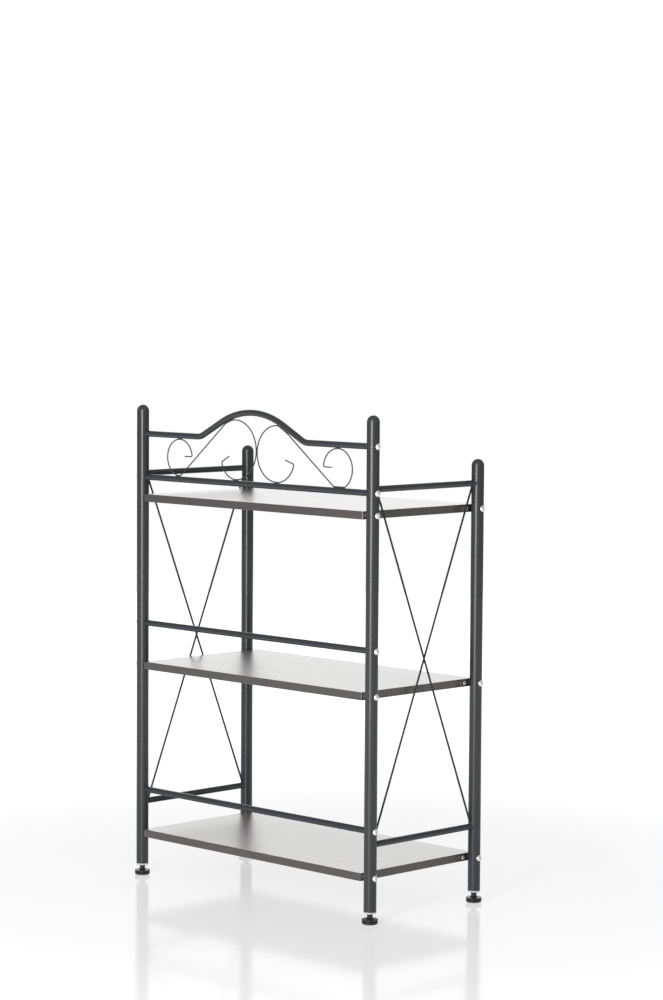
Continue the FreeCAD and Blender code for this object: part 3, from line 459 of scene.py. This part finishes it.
rackBolt = {
    "piece": "socketHeads",
    "slot": "bolt_plating",
    "headRadius": 6.3 * mm,
    "headHeight": 5.0 * mm,
    "rimHeight": 1.0 * mm,
    "rimBevel": 0.25 * mm,
    "shankRadius": 3.0 * mm,
    "endTaper": 0.6,           # radius of the shank's end, as a share of the shank's
    "socketHalfFlat": 2.0 * mm,
    "socketDepth": 2.8 * mm,
    "socketPoint": 0.4 * mm,   # the drill point below the socket
    "socketLip": 0.25 * mm,
    "spin": 60,                # a hexagon looks the same after this turn
    "steps": 48,
    "domeRings": 7,
    "smoothAngle": 32,
}


def hexagon(halfFlat, height, steps):
    def radiusAt(angle):
        off = (angle + math.pi / 6) % (math.pi / 3) - math.pi / 6
        return halfFlat / math.cos(off)

    return ringOf(radiusAt, height, steps)


def domeHeight(fastener, distance):
    # height of the head's round top at a distance from its middle
    rise = fastener["headHeight"] - fastener["rimHeight"]
    ball = (fastener["headRadius"] ** 2 + rise ** 2) / (2 * rise)
    return fastener["headHeight"] - ball + math.sqrt(ball ** 2 - distance ** 2)


def domeRings(fastener, inner, outer):
    count = fastener["domeRings"]
    radii = [inner + (outer - inner) * number / count for number in range(count + 1)]
    return [circle(radius, domeHeight(fastener, radius), fastener["steps"]) for radius in radii]


def boltRings(bolt, length):
    steps = bolt["steps"]
    radius, bevel, shank = bolt["headRadius"], bolt["rimBevel"], bolt["shankRadius"]
    mouth = bolt["socketHalfFlat"] / math.cos(math.pi / 6) + bolt["socketLip"]
    floor = bolt["headHeight"] - bolt["socketDepth"]
    socket = [
        [(0, 0, floor - bolt["socketPoint"])],
        hexagon(bolt["socketHalfFlat"], floor, steps),
        hexagon(bolt["socketHalfFlat"], domeHeight(bolt, mouth) - bolt["socketLip"], steps),
    ]
    rimAndShank = [
        circle(radius, bolt["rimHeight"], steps),
        circle(radius, bevel, steps),
        circle(radius - bevel, 0, steps),
        circle(shank, 0, steps),
        circle(shank, shank - length, steps),
        circle(shank * bolt["endTaper"], -length, steps),
        [(0, 0, -length)],
    ]
    return socket + domeRings(bolt, mouth, radius - bevel) + rimAndShank


def outwardPlace(sign, x, y, z, turn):
    # a placement whose own Z points out of the rack's side
    facing = Matrix.Rotation(math.radians(90) * sign, 4, "Y")
    spin = Matrix.Rotation(math.radians(turn), 4, "Z")
    return Matrix.Translation((x, y, z)) @ facing @ spin


def fastenerPlaces(nodeName, perSide):
    # one (side's sign, x of the head's top, y, z) for each fastener of a node
    low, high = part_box(nodeName)
    halfHead = (high.z - low.z) / 2
    z = (low.z + high.z) / 2
    ys = [high.y - halfHead, low.y + halfHead][:perSide]
    return [(sign, high.x, y, z) for sign in (-1, 1) for y in ys]


def makeFasteners(nodeName, fastener, ringsFor, perSide, rng):
    inner = min(abs(vertex.co.x) for vertex in frame["nodes"][nodeName].data.vertices)
    bm = bmesh.new()
    for sign, top, y, z in fastenerPlaces(nodeName, perSide):
        seat = top - fastener["headHeight"]
        place = outwardPlace(sign, sign * seat, y, z, rng.uniform(0, fastener["spin"]))
        bridgeRings(bm, ringsFor(fastener, seat - inner), place)
    mesh = toMesh(nodeName, bm, fastener["smoothAngle"])
    addPiece(f"{nodeName}.{fastener['piece']}", mesh, "rack", fastener["slot"], [nodeName])


boltRng = random.Random(11)
for tier in tiers:
    makeFasteners(f"shelf_bolts_{tier}", rackBolt, boltRings, 2, boltRng)
    makeFasteners(f"back_rail_bolts_{tier}", rackBolt, boltRings, 1, boltRng)
makeFasteners("arch_bolts", rackBolt, boltRings, 1, boltRng)
print("bolts made")

# Wood screws with a domed head and a cross recess

bracketScrew = {
    "piece": "crossHeads",
    "slot": "zinc_plating",
    "headRadius": 4.8 * mm,
    "headHeight": 2.8 * mm,
    "rimHeight": 0.6 * mm,
    "shankRadius": 2.0 * mm,
    "tipLength": 5.0 * mm,
    "armReach": 2.3 * mm,
    "armHalf": 0.55 * mm,
    "recessDepth": 1.6 * mm,
    "recessFloor": 0.45,       # size of the recess at its floor, as a share of its mouth
    "recessMouth": 1.08,       # where the dome starts, as a share of the arms' reach
    "recessLip": 0.05 * mm,
    "spin": 90,                # a cross looks the same after this turn
    "steps": 64,
    "domeRings": 5,
    "smoothAngle": 32,
}


def crossOutline(reach, half, height, steps):
    def radiusAt(angle):
        off = abs((angle + math.pi / 4) % (math.pi / 2) - math.pi / 4)
        if reach * math.sin(off) < half * math.cos(off):
            return reach / math.cos(off)
        return half / math.sin(off)

    return ringOf(radiusAt, height, steps)


def screwRings(screw, length):
    steps = screw["steps"]
    radius, shank = screw["headRadius"], screw["shankRadius"]
    reach, half, share = screw["armReach"], screw["armHalf"], screw["recessFloor"]
    mouth = reach * screw["recessMouth"]
    floor = screw["headHeight"] - screw["recessDepth"]
    recess = [
        [(0, 0, floor)],
        crossOutline(reach * share, half * share, floor, steps),
        crossOutline(reach, half, domeHeight(screw, mouth) - screw["recessLip"], steps),
    ]
    rimAndShank = [
        circle(radius, 0, steps),
        circle(shank, 0, steps),
        circle(shank, screw["tipLength"] - length, steps),
        [(0, 0, -length)],
    ]
    return recess + domeRings(screw, mouth, radius) + rimAndShank


screwRng = random.Random(23)
for tier in tiers:
    makeFasteners(f"shelf_screws_{tier}", bracketScrew, screwRings, 2, screwRng)
print("screws made")

# Threaded studs of the levelling feet

footStud = {
    "radius": 4.0 * mm,
    "threadDepth": 0.62 * mm,
    "pitch": 1.25 * mm,
    "ringsPerPitch": 6,
    "collarRadius": 5.2 * mm,
    "collarHeight": 2.2 * mm,
    "endBevel": 0.9 * mm,
    "steps": 32,
    "smoothAngle": 70,
}


def threadRing(stud, height, crest):
    def radiusAt(angle):
        phase = (height / stud["pitch"] - angle / (2 * math.pi)) % 1.0
        return crest - stud["threadDepth"] * abs(2 * phase - 1)

    return ringOf(radiusAt, height, stud["steps"])


def makeStud(end, side):
    stud = footStud
    nodeName = f"foot_stud_{end}_{side}"
    low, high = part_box(nodeName)
    collarTop = low.z + stud["collarHeight"]
    rings = [
        [(0, 0, low.z)],
        circle(stud["collarRadius"], low.z, stud["steps"]),
        circle(stud["collarRadius"], collarTop, stud["steps"]),
    ]
    height = collarTop
    while height < high.z:
        bevel = max(0.0, height - (high.z - stud["endBevel"]))
        rings.append(threadRing(stud, height, stud["radius"] - bevel))
        height += stud["pitch"] / stud["ringsPerPitch"]
    rings.append([(0, 0, high.z)])
    bm = bmesh.new()
    bridgeRings(bm, rings, Matrix.Translation(((low.x + high.x) / 2, (low.y + high.y) / 2, 0)))
    mesh = toMesh(nodeName, bm, stud["smoothAngle"])
    addPiece(f"{nodeName}.thread", mesh, f"stud_{end}_{side}", "zinc_plating", [nodeName])


for end in ends:
    for side in sides:
        makeStud(end, side)
print("studs made")

# Weld beads, painted over with the frame

weldBead = {
    "railRadius": 1.25 * mm,
    "rodRadius": 0.75 * mm,
    "rodFaces": 8,             # a rod's largest faces, which all lie along it
    "ripple": 0.08,
    "rippleWaves": 4,
    "rippleRates": (2.0, 9.0),
    "wireRadius": 1.15 * mm,
    "wireApart": 0.80 * mm,
    "wireEnd": 2.5 * mm,       # runs on past the contact
    "wireStep": 1.5 * mm,
    "wireLeast": 6,            # points in the shortest bead
    "wireSwell": 1.02,         # over 1, so that the ends stay open
    "wireTaper": 4,            # the higher, the later a bead thins out
    "wireVary": (0.9, 1.1),
    "touching": 0.35 * mm,
    "linked": 26.0 * mm,
    "points": 40,
    "steps": 10,
    "smoothAngle": 60,
}


def addBead(bm, path, radii, closed):
    # a tube of changing thickness along a path
    steps = weldBead["steps"]
    turns = [2 * math.pi * step / steps for step in range(steps)]
    count = len(path)
    aside = None
    rings = []
    for number, point in enumerate(path):
        before = path[number - 1] if closed or number else point
        after = path[(number + 1) % count] if closed or number + 1 < count else point
        along = (after - before).normalized()
        aside = along.orthogonal() if aside is None else aside - along * aside.dot(along)
        aside.normalize()
        other = along.cross(aside)
        spokes = [aside * math.cos(turn) + other * math.sin(turn) for turn in turns]
        rings.append([bm.verts.new(point + radii[number] * spoke) for spoke in spokes])
    pairs = list(zip(rings, rings[1:]))
    if closed:
        # the last ring joins the first where their points lie nearest
        first, last = rings[0], rings[-1]
        shift = min(range(steps), key=lambda step: (last[0].co - first[step].co).length)
        pairs.append((last, first[shift:] + first[:shift]))
    for low, high in pairs:
        for step in range(steps):
            after = (step + 1) % steps
            bm.faces.new((low[step], low[after], high[after], high[step]))
    if not closed:
        bm.faces.new(rings[0])
        bm.faces.new(rings[-1])


def postCentre(end, side):
    low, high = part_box(f"post_{end}_{side}")
    return (low + high) / 2


def seamPath(start, along, radius, post):
    # where a round bar meets a post, as a closed line
    along = along.normalized()
    aside = along.orthogonal().normalized()
    other = along.cross(aside)
    run = Vector((along.x, along.y))
    path = []
    for number in range(weldBead["points"]):
        turn = 2 * math.pi * number / weldBead["points"]
        base = start + radius * (aside * math.cos(turn) + other * math.sin(turn))
        flat = Vector((base.x - post.x, base.y - post.y))
        half = flat.dot(run) / run.dot(run)
        rest = (flat.dot(flat) - postRadius ** 2) / run.dot(run)
        path.append(base + along * (-half - math.sqrt(max(half * half - rest, 0.0))))
    return path


def rippled(radius, count, rng):
    waves = [(round(rng.uniform(*weldBead["rippleRates"])), rng.uniform(0, 2 * math.pi))
             for _ in range(weldBead["rippleWaves"])]
    radii = []
    for number in range(count):
        turn = 2 * math.pi * number / count
        swell = sum(math.sin(rate * turn + phase) for rate, phase in waves)
        radii.append(radius * (1 + weldBead["ripple"] * swell))
    return radii


def contactRuns(first, second):
    # the places where two nodes all but touch, each as its points in order
    tree = BVHTree.FromObject(frame["nodes"][second], bpy.context.evaluated_depsgraph_get())
    runs = []
    for vertex in frame["nodes"][first].data.vertices:
        nearest = tree.find_nearest(vertex.co, weldBead["touching"])[0]
        if nearest is None:
            continue
        middle = (vertex.co + nearest) / 2
        home = next((run for run in runs if (run[0] - middle).length < weldBead["linked"]), None)
        if home:
            home.append(middle)
        else:
            runs.append([middle])
    for run in runs:
        spans = [max(p[axis] for p in run) - min(p[axis] for p in run) for axis in range(3)]
        longest = spans.index(max(spans))
        run.sort(key=lambda point: point[longest])
    return runs


def runPath(run):
    # evenly spaced points through a contact, with a little more at both ends
    start = run[0]
    along = (run[-1] - start).normalized()
    length = (run[-1] - start).length + 2 * weldBead["wireEnd"]
    count = max(weldBead["wireLeast"], round(length / weldBead["wireStep"]))
    path = []
    for number in range(count):
        reach = length * number / (count - 1) - weldBead["wireEnd"]
        spot = start + along * reach
        near = [point - start for point in run
                if abs((point - start).dot(along) - reach) < 2 * weldBead["wireStep"]]
        if near:
            spot += sum((arm - along * arm.dot(along) for arm in near), Vector()) / len(near)
        path.append(spot)
    return path


def addWireWeld(bm, run, rng):
    # a bead on each side of the wire, thinner at both ends
    path = runPath(run)
    for sign in (-1, 1):
        radii = []
        for number in range(len(path)):
            share = 2 * number / (len(path) - 1) - 1
            swell = math.sqrt(weldBead["wireSwell"] - share ** weldBead["wireTaper"])
            radii.append(weldBead["wireRadius"] * swell * rng.uniform(*weldBead["wireVary"]))
        aside = Vector((0, sign * weldBead["wireApart"], 0))
        addBead(bm, [point + aside for point in path], radii, False)


def rodAxis(rod):
    faces = sorted(rod.data.polygons, key=lambda face: -face.area)[:weldBead["rodFaces"]]
    first = faces[0].normal
    other = max((face.normal for face in faces[1:]), key=lambda normal: first.cross(normal).length)
    axis = first.cross(other).normalized()
    return axis if axis.z > 0 else -axis


rodEnds = {"rising": ("back", "front"), "falling": ("front", "back")}   # upper end first


def makeSideWelds(side, rng):
    bm = bmesh.new()
    for level in ("top", "bottom"):
        low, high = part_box(f"side_rail_{level}_{side}")
        radius = (high.z - low.z) / 2
        for end, sign in ends.items():
            path = seamPath((low + high) / 2, Vector((0, sign, 0)), radius, postCentre(end, side))
            addBead(bm, path, rippled(weldBead["railRadius"], len(path), rng), True)
    middles = []
    for lean, (upper, lower) in rodEnds.items():
        rod = frame["nodes"][f"brace_{lean}_{side}"]
        low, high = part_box(rod.name)
        middle = (low + high) / 2
        radius = (high.x - low.x) / 2
        along = rodAxis(rod)
        for end, way in ((upper, along), (lower, -along)):
            path = seamPath(middle, way, radius, postCentre(end, side))
            addBead(bm, path, rippled(weldBead["rodRadius"], len(path), rng), True)
        middles.append(middle)
    crossing = sum(middles, Vector()) / len(middles)
    halfRun = Vector((0, 0, weldBead["wireEnd"] / 2))
    addWireWeld(bm, [crossing - halfRun, crossing + halfRun], rng)
    mesh = toMesh(f"sideWelds.{side}", bm, weldBead["smoothAngle"])
    addPiece(f"sideWelds.{side}", mesh, "rack", "frame_paint")


def makeScrollWelds(rng):
    contacts = [(f"scroll_{side}", rail) for side in sides
                for rail in ("back_rail_top", "arch_rail")]
    contacts.append(("scroll_left", "scroll_right"))
    bm = bmesh.new()
    for first, second in contacts:
        for run in contactRuns(first, second):
            addWireWeld(bm, run, rng)
    mesh = toMesh("scrollWelds", bm, weldBead["smoothAngle"])
    addPiece("scrollWelds", mesh, "rack", "frame_paint")


postLow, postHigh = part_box("post_back_left")
postRadius = (postHigh.x - postLow.x) / 2
weldRng = random.Random(37)
for side in sides:
    makeSideWelds(side, weldRng)
makeScrollWelds(weldRng)
print("welds made")

# Floor, light and camera

studio = {
    "floorRadius": 6.0,
    "floorRings": (0.1, 0.25, 0.5, 1.0),   # shares of the radius
    "floorSteps": 96,
    "floorSmooth": 30,
    "floorColour": (0.20, 0.20, 0.20),
    "floorGloss": 0.10,
    "floorRoughness": 0.12,
    "glowReach": (0.6, 2.6),               # distances between which the glow changes
    "glowLevel": (0.585, 0.96),            # near the rack and far from it
    "skyWhite": 1.0,
    "fill": 0.62,
    "glossLow": 0.10,
    "glossRoom": 0.35,
    "glossBack": 1.59,
    "glossHigh": 2.20,
    "lowEdge": (0.0, 0.05),                # upward part of the direction, from floor to room
    "highEdge": (0.06, 0.19),              # and from the back wall to its brighter top
    "backEdge": (0.80, 0.93),              # part towards the back, from the room to its wall
    "backDirection": (0.7065, -0.7077),
    "keyDirection": (-0.389, 0.918),
    "keyDistance": 3.0,
    "keySize": (0.8, 1.9),
    "keyHeight": 1.15,
    "keyPower": 84.0,
}


def stepNode(tree, source, edge, low=0.0, high=1.0):
    return rangeNode(tree, source, low, high, *edge, blend="SMOOTHSTEP")


def makeFloor():
    # glossy, and brighter away from the rack, so that no horizon shows
    bm = bmesh.new()
    rings = [circle(studio["floorRadius"] * share, 0, studio["floorSteps"])
             for share in studio["floorRings"]]
    bridgeRings(bm, [[(0, 0, 0)]] + rings, Matrix.Identity(4))
    floor = bpy.data.objects.new("studioFloor", toMesh("studioFloor", bm, studio["floorSmooth"]))
    bpy.context.scene.collection.objects.link(floor)
    material = bpy.data.materials.new("studioFloor")
    material.use_nodes = True
    tree = material.node_tree
    tree.nodes.clear()
    matt = addNode(tree, "ShaderNodeBsdfDiffuse")
    feed(tree, matt.inputs["Color"], studio["floorColour"])
    reach = addNode(tree, "ShaderNodeVectorMath", operation="LENGTH")
    join(tree, objectPlace(tree), reach.inputs[0])
    level = stepNode(tree, reach.outputs["Value"], studio["glowReach"], *studio["glowLevel"])
    glow = addNode(tree, "ShaderNodeEmission")
    feed(tree, glow.inputs["Color"], white)
    join(tree, level, glow.inputs["Strength"])
    gloss = addNode(tree, "ShaderNodeBsdfGlossy")
    feed(tree, gloss.inputs["Color"], white)
    gloss.inputs["Roughness"].default_value = studio["floorRoughness"]
    sheen = addNode(tree, "ShaderNodeMixShader")
    sheen.inputs["Fac"].default_value = studio["floorGloss"]
    both = addNode(tree, "ShaderNodeAddShader")
    output = addNode(tree, "ShaderNodeOutputMaterial")
    join(tree, matt.outputs[0], sheen.inputs[1])
    join(tree, gloss.outputs[0], sheen.inputs[2])
    join(tree, sheen.outputs[0], both.inputs[0])
    join(tree, glow.outputs[0], both.inputs[1])
    join(tree, both.outputs[0], output.inputs["Surface"])
    floor.data.materials.append(material)


def makeWorld():
    # white to the camera and an even fill for matt surfaces;
    # gloss sees a dim room with a bright back wall
    world = bpy.data.worlds.new("studioRoom")
    bpy.context.scene.world = world
    world.use_nodes = True
    tree = world.node_tree
    tree.nodes.clear()
    rays = addNode(tree, "ShaderNodeLightPath")
    place = addNode(tree, "ShaderNodeTexCoord")
    parts = addNode(tree, "ShaderNodeSeparateXYZ")
    join(tree, place.outputs["Generated"], parts.inputs[0])
    upward = parts.outputs["Z"]
    backX, backY = studio["backDirection"]
    towards = weightedSum(tree, parts.outputs["X"], backX, parts.outputs["Y"], backY)
    wall = mixNode(tree, "FLOAT", stepNode(tree, upward, studio["highEdge"]),
                   studio["glossBack"], studio["glossHigh"])
    room = mixNode(tree, "FLOAT", stepNode(tree, towards, studio["backEdge"]),
                   studio["glossRoom"], wall)
    gloss = mixNode(tree, "FLOAT", stepNode(tree, upward, studio["lowEdge"]),
                    studio["glossLow"], room)
    level = mixNode(tree, "FLOAT", rays.outputs["Is Glossy Ray"], studio["fill"], gloss)
    shown = mixNode(tree, "FLOAT", rays.outputs["Is Camera Ray"], level, studio["skyWhite"])
    background = addNode(tree, "ShaderNodeBackground")
    feed(tree, background.inputs["Color"], white)
    join(tree, shown, background.inputs["Strength"])
    output = addNode(tree, "ShaderNodeOutputWorld")
    join(tree, background.outputs[0], output.inputs["Surface"])


def makeKeyLight():
    # one upright softbox, level with the rack
    across = Vector(studio["keyDirection"]) * studio["keyDistance"]
    data = bpy.data.lights.new("keySoftbox", "AREA")
    data.shape = "RECTANGLE"
    data.size, data.size_y = studio["keySize"]
    data.energy = studio["keyPower"]
    lamp = bpy.data.objects.new("keySoftbox", data)
    bpy.context.scene.collection.objects.link(lamp)
    lamp.location = (across.x, across.y, studio["keyHeight"])
    lamp.rotation_euler = Vector((-across.x, -across.y, 0)).to_track_quat("-Z", "Y").to_euler()
    lamp.visible_camera = False


makeFloor()
makeWorld()
makeKeyLight()

photoCamera = {
    "place": (-4.22463, 4.15828, 1.22655),
    "yaw": 44.957,
    "pitch": 4.033,
    "roll": 0.354,
    "lens": 103.797,
    "sensor": 36.0,
}


def makeCamera():
    yaw, pitch, roll = (math.radians(photoCamera[key]) for key in ("yaw", "pitch", "roll"))
    ahead = Vector((math.sin(yaw) * math.cos(pitch), -math.cos(yaw) * math.cos(pitch),
                    -math.sin(pitch)))
    across = ahead.cross(Vector((0, 0, 1))).normalized()
    upward = across.cross(ahead)
    right = across * math.cos(roll) + upward * math.sin(roll)
    top = upward * math.cos(roll) - across * math.sin(roll)
    turn = Matrix((right, top, -ahead)).transposed().to_4x4()
    data = bpy.data.cameras.new("photoCamera")
    data.lens = photoCamera["lens"]
    data.sensor_width = photoCamera["sensor"]
    data.sensor_fit = "AUTO"
    camera = bpy.data.objects.new("photoCamera", data)
    bpy.context.scene.collection.objects.link(camera)
    camera.matrix_world = Matrix.Translation(photoCamera["place"]) @ turn
    bpy.context.scene.camera = camera


makeCamera()
bpy.context.scene.view_settings.view_transform = "Standard"
bpy.context.scene.view_settings.look = "None"
print("studio ready")
